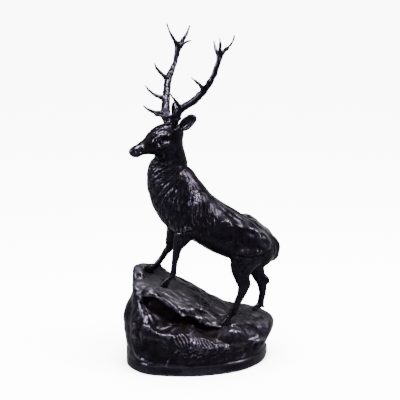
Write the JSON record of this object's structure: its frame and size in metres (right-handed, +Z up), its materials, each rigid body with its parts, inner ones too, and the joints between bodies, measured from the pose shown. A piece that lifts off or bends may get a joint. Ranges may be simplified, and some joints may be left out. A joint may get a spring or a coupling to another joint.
{
  "type": "stag figure",
  "caption": "Dark patinated bronze stag with branched antlers, standing with its forefeet up on a sloping rocky base with a plain rim.",
  "frame": {"origin": "centre of the underside of the rocky base", "axes": "+Z up, the stag faces -X up the slope, its left flank and the front of the base are toward -Y"},
  "size_m": [0.3756, 0.2472, 0.7996],
  "materials": {
    "stag_bronze": "near-black waxed bronze patina, semi-gloss",
    "rock_bronze": "near-black bronze patina, semi-gloss, with a duller top and rim and browner hollows"
  },
  "bodies": {
    "root": {"stag": "stag_bronze", "rock_base": "rock_bronze"}
  },
  "joints": []
}
